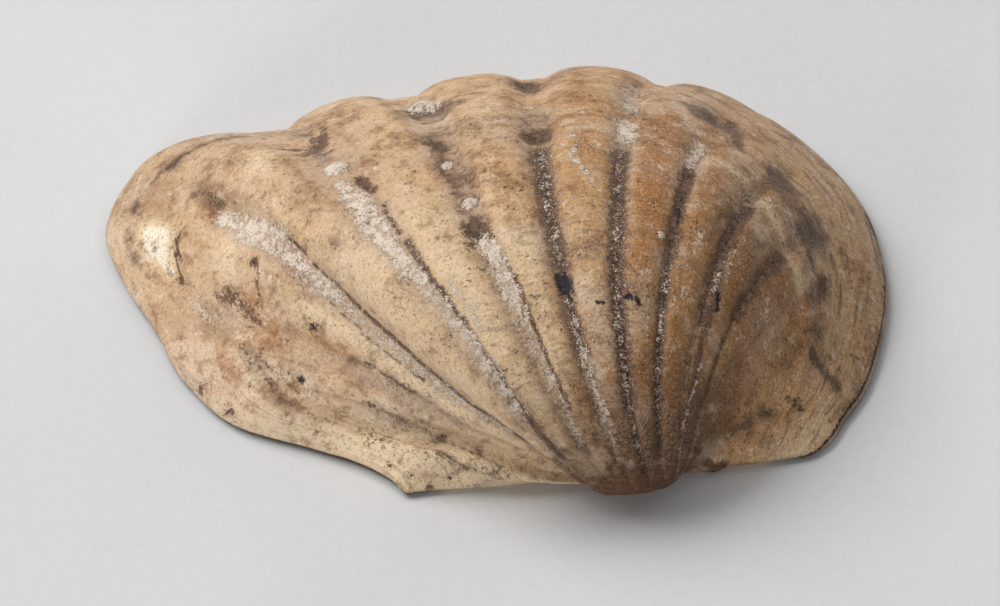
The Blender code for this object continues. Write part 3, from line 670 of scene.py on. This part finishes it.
# Words for the tables of steps: the node, its settings and the output that is kept.
WORDS = {word: ("ShaderNodeMath", {"operation": name}, 0) for word, name in {
    "plus": "ADD", "minus": "SUBTRACT", "times": "MULTIPLY", "over": "DIVIDE",
    "times_plus": "MULTIPLY_ADD", "power": "POWER", "exp": "EXPONENT", "log": "LOGARITHM",
    "root": "SQRT", "sine": "SINE", "cosine": "COSINE", "degrees": "DEGREES",
    "radians": "RADIANS", "least": "MINIMUM", "most": "MAXIMUM", "size_of": "ABSOLUTE",
    "nearest": "ROUND", "below": "LESS_THAN"}.items()}
WORDS.update({word: ("ShaderNodeVectorMath", {"operation": name}, output)
              for word, name, output in (
                  ("scale", "SCALE", 0), ("offset", "ADD", 0), ("less", "SUBTRACT", 0),
                  ("length", "LENGTH", 1), ("along", "DOT_PRODUCT", 1))})
WORDS.update({
    "range": ("ShaderNodeMapRange", {}, 0),
    "smooth": ("ShaderNodeMapRange", {"interpolation_type": "SMOOTHSTEP"}, 0),
    "noise": ("ShaderNodeTexNoise", {}, 0),
    "join": ("ShaderNodeCombineXYZ", {}, 0),
    "mix": ("ShaderNodeMix", {"data_type": "RGBA"}, 2),
    "shade": ("ShaderNodeMix", {"data_type": "RGBA", "blend_type": "MULTIPLY"}, 2),
})


def term_value(known, term):
    """What a table's term stands for: an earlier result, a hex colour or itself."""
    if not isinstance(term, str):
        return term
    return linear(term) if term.startswith("#") else known[term]


def steps(tree, known, rows):
    """Work down a table of (result, word, terms) and keep each result under its name.

    "smooth" and "range" run from 0 to 1 where a row doesn't say otherwise.  "times" takes
    two terms or more.  "bell" takes a value, its centre and its width; "sum" a start, then
    values with their weights; and "paint" how much of a colour covers the result so far.
    "cover" paints the tone as a value goes from one bound to the other: a colour, the
    value, both bounds, the most that is laid on, and what that is multiplied by.
    """
    for result, word, *terms in rows:
        if word == "bell":
            value, centre, width = terms
            steps(tree, known, [(result, "minus", value, centre),
                                (result, "over", result, width),
                                (result, "times", result, result, -1.0),
                                (result, "exp", result)])
        elif word == "sum":
            start, *pairs = terms
            for value, weight in zip(pairs[::2], pairs[1::2]):
                steps(tree, known, [(result, "times_plus", value, weight, start)])
                start = result
        elif word == "paint":
            amount, colour = terms
            steps(tree, known, [(result, "mix", amount, result, colour)])
        elif word == "cover":
            colour, value, start, end, most, *factors = terms
            steps(tree, known, [(result, "smooth", value, start, end, 0.0, most)]
                  + [(result, "times", result, factor) for factor in factors]
                  + [("tone", "paint", result, colour)])
        elif word == "times" and len(terms) > 2:
            steps(tree, known, [(result, "times", *terms[:2]),
                                (result, "times", result, *terms[2:])])
        else:
            kind, settings, output = WORDS[word]
            sources = [term_value(known, term) for term in terms]
            known[result] = add(tree, kind, sources, **settings).outputs[output]
    return known


def spline(points, count):
    """Catmull-Rom curve through the points."""
    first = tuple(2 * a - b for a, b in zip(points[0], points[1]))
    last = tuple(2 * a - b for a, b in zip(points[-1], points[-2]))
    run = [first] + list(points) + [last]
    curve = []
    for a4, b4, c4, d4 in zip(run, run[1:], run[2:], run[3:]):
        for k in range(count):
            t = k / count
            curve.append(tuple(
                0.5 * (2 * b + (c - a) * t + (2 * a - 5 * b + 4 * c - d) * t * t
                       + (3 * b - a - 3 * c + d) * t ** 3)
                for a, b, c, d in zip(a4, b4, c4, d4)))
    curve.append(tuple(points[-1]))
    return curve


def polar_margin():
    """The margin as (bearing / 180, radius / RADIUS_SCALE) about the beak."""
    table = []
    for x, y in spline(MARGIN, MARGIN_STEPS):
        slope = HINGE_SLOPE_LEFT if x < 0 else HINGE_SLOPE_RIGHT
        rise = max(0.0, y - x * slope)
        table.append((math.atan2(rise, x) / math.pi, math.hypot(x, rise) / RADIUS_SCALE))
    return sorted(table)


def set_curve(node, points):
    """Run a curve node straight from point to point."""
    curve = node.mapping.curves[0]
    while len(curve.points) < len(points):
        curve.points.new(0.5, 0.5)
    for point, (x, y) in zip(curve.points, points):
        point.location = (x, y)
        point.handle_type = "VECTOR"
    node.mapping.update()


def spread(values):
    """Curve points for values that belong to the grooves from RIB_LOW on."""
    points = [((RIB_LOW + i + 2.0) / GROOVE_SPAN, v) for i, v in enumerate(values)]
    return [(0.0, values[0])] + points + [(1.0, values[-1])]


def half_strengths():
    """Groove strengths at half size, because a curve node ends at 1."""
    return spread([s / 2.0 for s in RIB_STRENGTH])


def ribbed_surface(tree, known, place):
    """A grid bent round the beak, with its relief; known gets what later steps need."""
    split = add(tree, "ShaderNodeSeparateXYZ", [place])
    known["column"], known["row"] = split.outputs[0], split.outputs[1]
    steps(tree, known, SPIRAL)
    place_curve = add(tree, "ShaderNodeFloatCurve", {"Value": known["share"]})
    set_curve(place_curve, spread([(p + 2.0) / GROOVE_SPAN for p in RIB_PLACE]))
    known["place"] = place_curve.outputs[0]
    steps(tree, known, BEARINGS)
    polar = polar_margin()
    radius_curve = add(tree, "ShaderNodeFloatCurve", {"Value": known["bearing_share"]})
    set_curve(radius_curve, [(0.0, polar[0][1])] + polar + [(1.0, polar[-1][1])])
    strength_curve = add(tree, "ShaderNodeFloatCurve", {"Value": known["groove_share"]})
    set_curve(strength_curve, half_strengths())
    known["radius_share"] = radius_curve.outputs[0]
    known["half_strength"] = strength_curve.outputs[0]
    steps(tree, known, [("full", "times", "radius_share", RADIUS_SCALE),
                        ("strength", "times", "half_strength", 2)] + RELIEF + FORM)

    mesh = add(tree, "GeometryNodeMeshGrid", [1.0, 1.0, COLUMNS, ROWS]).outputs["Mesh"]
    for name in ("groove", "swing", "floor"):
        mesh = add(tree, "GeometryNodeStoreNamedAttribute",
                   {"Geometry": mesh, "Name": name, "Value": known[name]},
                   data_type="FLOAT", domain="POINT").outputs[0]
    mesh = add(tree, "GeometryNodeSetPosition",
               {"Geometry": mesh, "Position": known["spot"]}).outputs[0]
    known["here"] = place
    known["out"] = add(tree, "GeometryNodeInputNormal").outputs[0]
    steps(tree, known, WEATHER)
    return add(tree, "GeometryNodeSetPosition",
               {"Geometry": mesh, "Offset": known["push"]}).outputs[0]


def pull_edges(tree, mesh, edge, target):
    """Extrude the edges and bring the new ones to the target place."""
    grown = add(tree, "GeometryNodeExtrudeMesh",
                {"Mesh": mesh, "Selection": edge, "Offset Scale": 0.0}, mode="EDGES")
    moved = add(tree, "GeometryNodeSetPosition",
                {"Geometry": grown.outputs["Mesh"], "Selection": grown.outputs["Top"],
                 "Position": target})
    return moved.outputs[0], grown.outputs["Top"]


def underside(tree, mesh, place):
    """Take the border down to the ground, in over the rim and up into the hollow."""
    neighbours = add(tree, "GeometryNodeInputMeshEdgeNeighbors")
    border = add(tree, "FunctionNodeCompare", [neighbours.outputs[0], 1],
                 data_type="INT", operation="EQUAL")
    split = add(tree, "ShaderNodeSeparateXYZ", [place])
    below = steps(tree, {"x": split.outputs[0], "y": split.outputs[1]}, FOOT)
    mesh, edge = pull_edges(tree, mesh, border.outputs[0], below["foot"])
    mesh = add(tree, "GeometryNodeStoreNamedAttribute",
               {"Geometry": mesh, "Name": "foot", "Value": place},
               data_type="FLOAT_VECTOR", domain="POINT").outputs[0]

    for name, kind in (("foot", "FLOAT_VECTOR"), ("groove", "FLOAT")):
        below[name] = add(tree, "GeometryNodeInputNamedAttribute", {"Name": name},
                          data_type=kind).outputs["Attribute"]
    steps(tree, below, INWARD)
    strength_curve = add(tree, "ShaderNodeFloatCurve", {"Value": below["share"]})
    set_curve(strength_curve, half_strengths())
    below["strength"] = strength_curve.outputs[0]
    steps(tree, below, [("wave", "times", "wave", "strength")])
    for step in range(RINGS_BELOW + 1):
        inward = step / RINGS_BELOW
        bowl = HOLLOW_DEPTH * (1.0 - (1.0 - inward) ** 2)
        fade = max(0.0, min(1.0, (RIB_OUT - inward) / RIB_FADE))
        rib = RIB_BELOW * min(1.0, inward / RIB_IN) * fade
        ring = RING_BELOW * math.exp(-((inward - RING_AT) / RING_RUN) ** 2)
        steps(tree, below, [
            ("keep", "times", "inner", 1.0 - inward),
            ("up", "times_plus", "wave", rib, bowl - ring if inward > 0 else 0.0),
            ("up", "join", 0, 0, "up"),
            ("at", "scale", "arm", "keep"),
            ("at", "offset", "at", HOLLOW_CENTRE),
            ("at", "offset", "at", "up"),
        ])
        mesh, edge = pull_edges(tree, mesh, edge, below["at"])
    return mesh


def growth_tree(material):
    """The tree that grows the whole valve in millimetres and sets it in the frame."""
    tree = bpy.data.node_groups.new("valve_growth", "GeometryNodeTree")
    face = tree.interface
    face.new_socket("Geometry", in_out="OUTPUT", socket_type="NodeSocketGeometry")
    face.new_socket("Geometry", in_out="INPUT", socket_type="NodeSocketGeometry")
    for name, value in SIZES.items():
        socket = face.new_socket(name, in_out="INPUT", socket_type="NodeSocketFloat")
        socket.default_value = value
    entry = add(tree, "NodeGroupInput")
    place = add(tree, "GeometryNodeInputPosition").outputs[0]
    mesh = ribbed_surface(tree, {name: entry.outputs[name] for name in SIZES}, place)
    mesh = underside(tree, mesh, place)
    for kind, inputs in (
            ("GeometryNodeMergeByDistance", {"Distance": WELD}),
            ("GeometryNodeTransform", {"Translation": tuple(c * MM for c in BEAK_PLACE),
                                       "Scale": (MM, MM, MM)}),
            ("GeometryNodeSetShadeSmooth", {}), ("GeometryNodeRealizeInstances", {}),
            ("GeometryNodeSetMaterial", {"Material": material})):
        mesh = add(tree, kind, {"Geometry": mesh, **inputs}).outputs[0]
    add(tree, "NodeGroupOutput", [mesh])
    return tree


def grow_valve(material):
    """Run the growth tree and return its result as a plain mesh object."""
    seed = bpy.data.objects.new("valve_seed", bpy.data.meshes.new("valve_seed"))
    bpy.context.scene.collection.objects.link(seed)
    modifier = seed.modifiers.new("growth", "NODES")
    modifier.node_group = growth_tree(material)
    for item in modifier.node_group.interface.items_tree:
        if item.in_out == "INPUT" and item.name in SIZES:
            modifier[item.identifier] = SIZES[item.name]
    bpy.context.view_layer.update()
    grown = seed.evaluated_get(bpy.context.evaluated_depsgraph_get())
    mesh = bpy.data.meshes.new_from_object(grown)
    bpy.data.objects.remove(seed)
    work = bmesh.new()
    work.from_mesh(mesh)
    bmesh.ops.recalc_face_normals(work, faces=work.faces)
    work.to_mesh(mesh)
    work.free()
    valve = bpy.data.objects.new("valve_surface", mesh)
    bpy.context.scene.collection.objects.link(valve)
    return valve


def read(mesh, name, width=1):
    """An attribute as an array; "co" and "out" are the vertices' places and normals."""
    values = np.empty(len(mesh.vertices) * width, dtype=np.float32)
    if name == "co":
        mesh.vertices.foreach_get("co", values)
    elif name == "out":
        mesh.vertex_normals.foreach_get("vector", values)
    else:
        mesh.attributes[name].data.foreach_get("vector" if width > 1 else "value", values)
    return values.reshape(-1, width) if width > 1 else values


def keep(mesh, name, values):
    """Store an array as an attribute, made new where the mesh hasn't got it."""
    if name not in mesh.attributes:
        mesh.attributes.new(name, "FLOAT", "POINT")
    mesh.attributes[name].data.foreach_set("value", values.astype(np.float32))


def nearest_point(groove, swing, top, spot):
    """Number of the point on top that lies nearest to a spot given as (groove, swing)."""
    off = (groove - spot[0]) ** 2 + ((swing - spot[1]) / SWING_PER_GROOVE) ** 2
    return (off + OUT_OF_REACH * ~top).argmin()


def settle_underside(mesh):
    """Give the underside one even ground, and store which points lie on the outside."""
    at = read(mesh, "co", 3)
    foot = read(mesh, "foot", 3)
    on_ground = (foot + np.array(BEAK_PLACE)) * MM
    away = np.linalg.norm(at - on_ground, axis=1)
    under = (np.abs(foot[:, 2]) < GROUND_SLACK) & (away > FOOT_REACH * MM)
    for name, value in (("groove", UNDER_GROOVE), ("swing", UNDER_SWING), ("floor", 0.0)):
        keep(mesh, name, np.where(under, value, read(mesh, name)))
    keep(mesh, "outside", ~under)


def mark(mesh):
    """Store each kind of mark as an attribute: its fullness in the middle, half at the edge."""
    at = read(mesh, "co", 3) / MM
    groove, swing = read(mesh, "groove"), read(mesh, "swing")
    top = (at[:, 2] > LOWEST_MARK) & (read(mesh, "outside") > 0.5)
    for name, strokes in MARKS.items():
        deepest = np.zeros(len(at), dtype=np.float32)
        for half, amount, *path in strokes:
            spots = [path[0]]
            for (g0, s0), (g1, s1) in zip(path, path[1:]):
                count = math.ceil(max(abs(g1 - g0) / STROKE_GROOVE, abs(s1 - s0) / STROKE_SWING))
                spots += [(g0 + (g1 - g0) * k / count, s0 + (s1 - s0) * k / count)
                          for k in range(1, count + 1)]
            for spot in spots:
                centre = at[nearest_point(groove, swing, top, spot)]
                away = np.linalg.norm(at - centre, axis=1) / half
                deepest = np.maximum(deepest, amount * (1.0 - 0.5 * away))
        keep(mesh, name, np.where(top, deepest, 0))


def press_knobs(mesh):
    """Raise or sink small round places along the surface's own face."""
    at, out = read(mesh, "co", 3), read(mesh, "out", 3)
    groove, swing = read(mesh, "groove"), read(mesh, "swing")
    top = (at[:, 2] > LOWEST_KNOB * MM) & (read(mesh, "outside") > 0.5)
    push = np.zeros(len(at), dtype=np.float32)
    for g, s, radius, height in KNOBS:
        centre = at[nearest_point(groove, swing, top, (g, s))]
        away = np.linalg.norm(at - centre, axis=1) / (radius * MM)
        push += height * MM * np.exp(-away ** 2 * np.maximum(1.0, away))
    mesh.vertices.foreach_set("co", (at + out * (push * top)[:, None]).ravel())
    mesh.update()


def set_ramp(node, stops):
    """Give a colour ramp its stops: (place, hex colour)."""
    ramp = node.color_ramp
    while len(ramp.elements) < len(stops):
        ramp.elements.new(0.5)
    for element, (place, code) in zip(ramp.elements, stops):
        element.position = place
        element.color = linear(code)


def finish_shader(material, known):
    """Link the tone and the relief to the shader, and return it for the rest."""
    tree = material.node_tree
    shader = tree.nodes["Principled BSDF"]
    tree.links.new(known["tone"], shader.inputs["Base Color"])
    bump = add(tree, "ShaderNodeBump", {"Height": known["relief"], "Distance": MM,
                                        "Strength": 1.0})
    tree.links.new(bump.outputs[0], shader.inputs["Normal"])
    return shader


def fossil_calcite():
    """Calcite shell turned to stone and handled for years.

    Lime shell buried in clay, dug out and washed: cream to ochre where it is rubbed,
    brown where clay soaked in, with chalky lime left in the grooves.  The eye sees a dull
    waxy face, brown mottling a millimetre or so wide, pinpricks, faint growth lines about
    half a millimetre apart across the ribs, and crumbs of lime and clay in the grooves.
    """
    material = bpy.data.materials.new("fossil_calcite")
    material.use_nodes = True
    tree = material.node_tree
    known = {name: add(tree, "ShaderNodeAttribute", attribute_name=name).outputs["Fac"]
             for name in ["groove", "swing", "floor"] + list(MARKS)}
    known["at"] = add(tree, "ShaderNodeTexCoord").outputs["Object"]
    steps(tree, known, [("mm", "scale", "at", 1.0 / MM)] + PATTERNS)
    tones = add(tree, "ShaderNodeValToRGB", [known["groove_share"]])
    set_ramp(tones, TONES)
    known["tone"] = tones.outputs[0]
    steps(tree, known, COLOURS + GLOSS)
    shader = finish_shader(material, known)
    tree.links.new(known["rough"], shader.inputs["Roughness"])
    shader.inputs["Specular IOR Level"].default_value = 0.27
    return material


def pale_board():
    """Coated grey board, pressed smooth: dull, with a faint cloudiness and paper grain."""
    material = bpy.data.materials.new("pale_board")
    material.use_nodes = True
    tree = material.node_tree
    known = {"at": add(tree, "ShaderNodeTexCoord").outputs["Object"]}
    steps(tree, known, BOARD)
    finish_shader(material, known).inputs["Roughness"].default_value = 0.85
    return material


def aim(item, place, target):
    """Put a lamp or camera in its place, facing the target."""
    item.location = place
    item.rotation_euler = (Vector(place) - Vector(target)).to_track_quat("Z", "Y").to_euler()


def studio():
    """Pale board to lie on, a window from behind on the left and two weak cards."""
    mesh = bpy.data.meshes.new("floor")
    half = FLOOR_HALF
    mesh.from_pydata([(-half, -half, 0), (half, -half, 0), (half, half, 0), (-half, half, 0)],
                     [], [(0, 1, 2, 3)])
    mesh.materials.append(pale_board())
    floor = bpy.data.objects.new("floor", mesh)
    bpy.context.scene.collection.objects.link(floor)

    world = bpy.data.worlds.new("studio")
    world.use_nodes = True
    world.node_tree.nodes["Background"].inputs["Color"].default_value = (1, 1, 1, 1)
    world.node_tree.nodes["Background"].inputs["Strength"].default_value = SKY_STRENGTH
    bpy.context.scene.world = world
    bpy.context.scene.view_settings.view_transform = "Standard"
    for name, bearing, height, size, power in LAMPS:
        data = bpy.data.lights.new(name, "AREA")
        data.size, data.energy = size, power
        lamp = bpy.data.objects.new(name, data)
        bpy.context.scene.collection.objects.link(lamp)
        bearing, height = math.radians(bearing), math.radians(height)
        flat, up = LAMP_DISTANCE * math.cos(height), LAMP_DISTANCE * math.sin(height)
        aim(lamp, (flat * math.cos(bearing), flat * math.sin(bearing), up), LAMP_TARGET)


def camera():
    """Long lens, 50 degrees above the table, square on to the hinge side."""
    elevation = math.radians(CAMERA_ELEVATION)
    pixel = 1.0 / PIXELS_PER_MM * MM
    back = Vector((0, -math.cos(elevation), math.sin(elevation)))
    up = Vector((0, math.sin(elevation), math.cos(elevation)))
    right, lower = (b - c for b, c in zip(BEAK_PIXEL, PICTURE_CENTRE))
    target = Vector(BEAK_PLACE) * MM - Vector((1, 0, 0)) * right * pixel + up * lower * pixel
    data = bpy.data.cameras.new("camera")
    data.sensor_width = SENSOR
    data.lens = SENSOR * CAMERA_DISTANCE / (PICTURE_WIDTH * pixel)
    data.clip_start, data.clip_end = 0.05, 5.0
    item = bpy.data.objects.new("camera", data)
    bpy.context.scene.collection.objects.link(item)
    aim(item, target + back * CAMERA_DISTANCE, target)
    bpy.context.scene.camera = item


valve = grow_valve(fossil_calcite())
settle_underside(valve.data)
mark(valve.data)
press_knobs(valve.data)
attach(valve, "root")
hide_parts("fossil_valve")
studio()
camera()
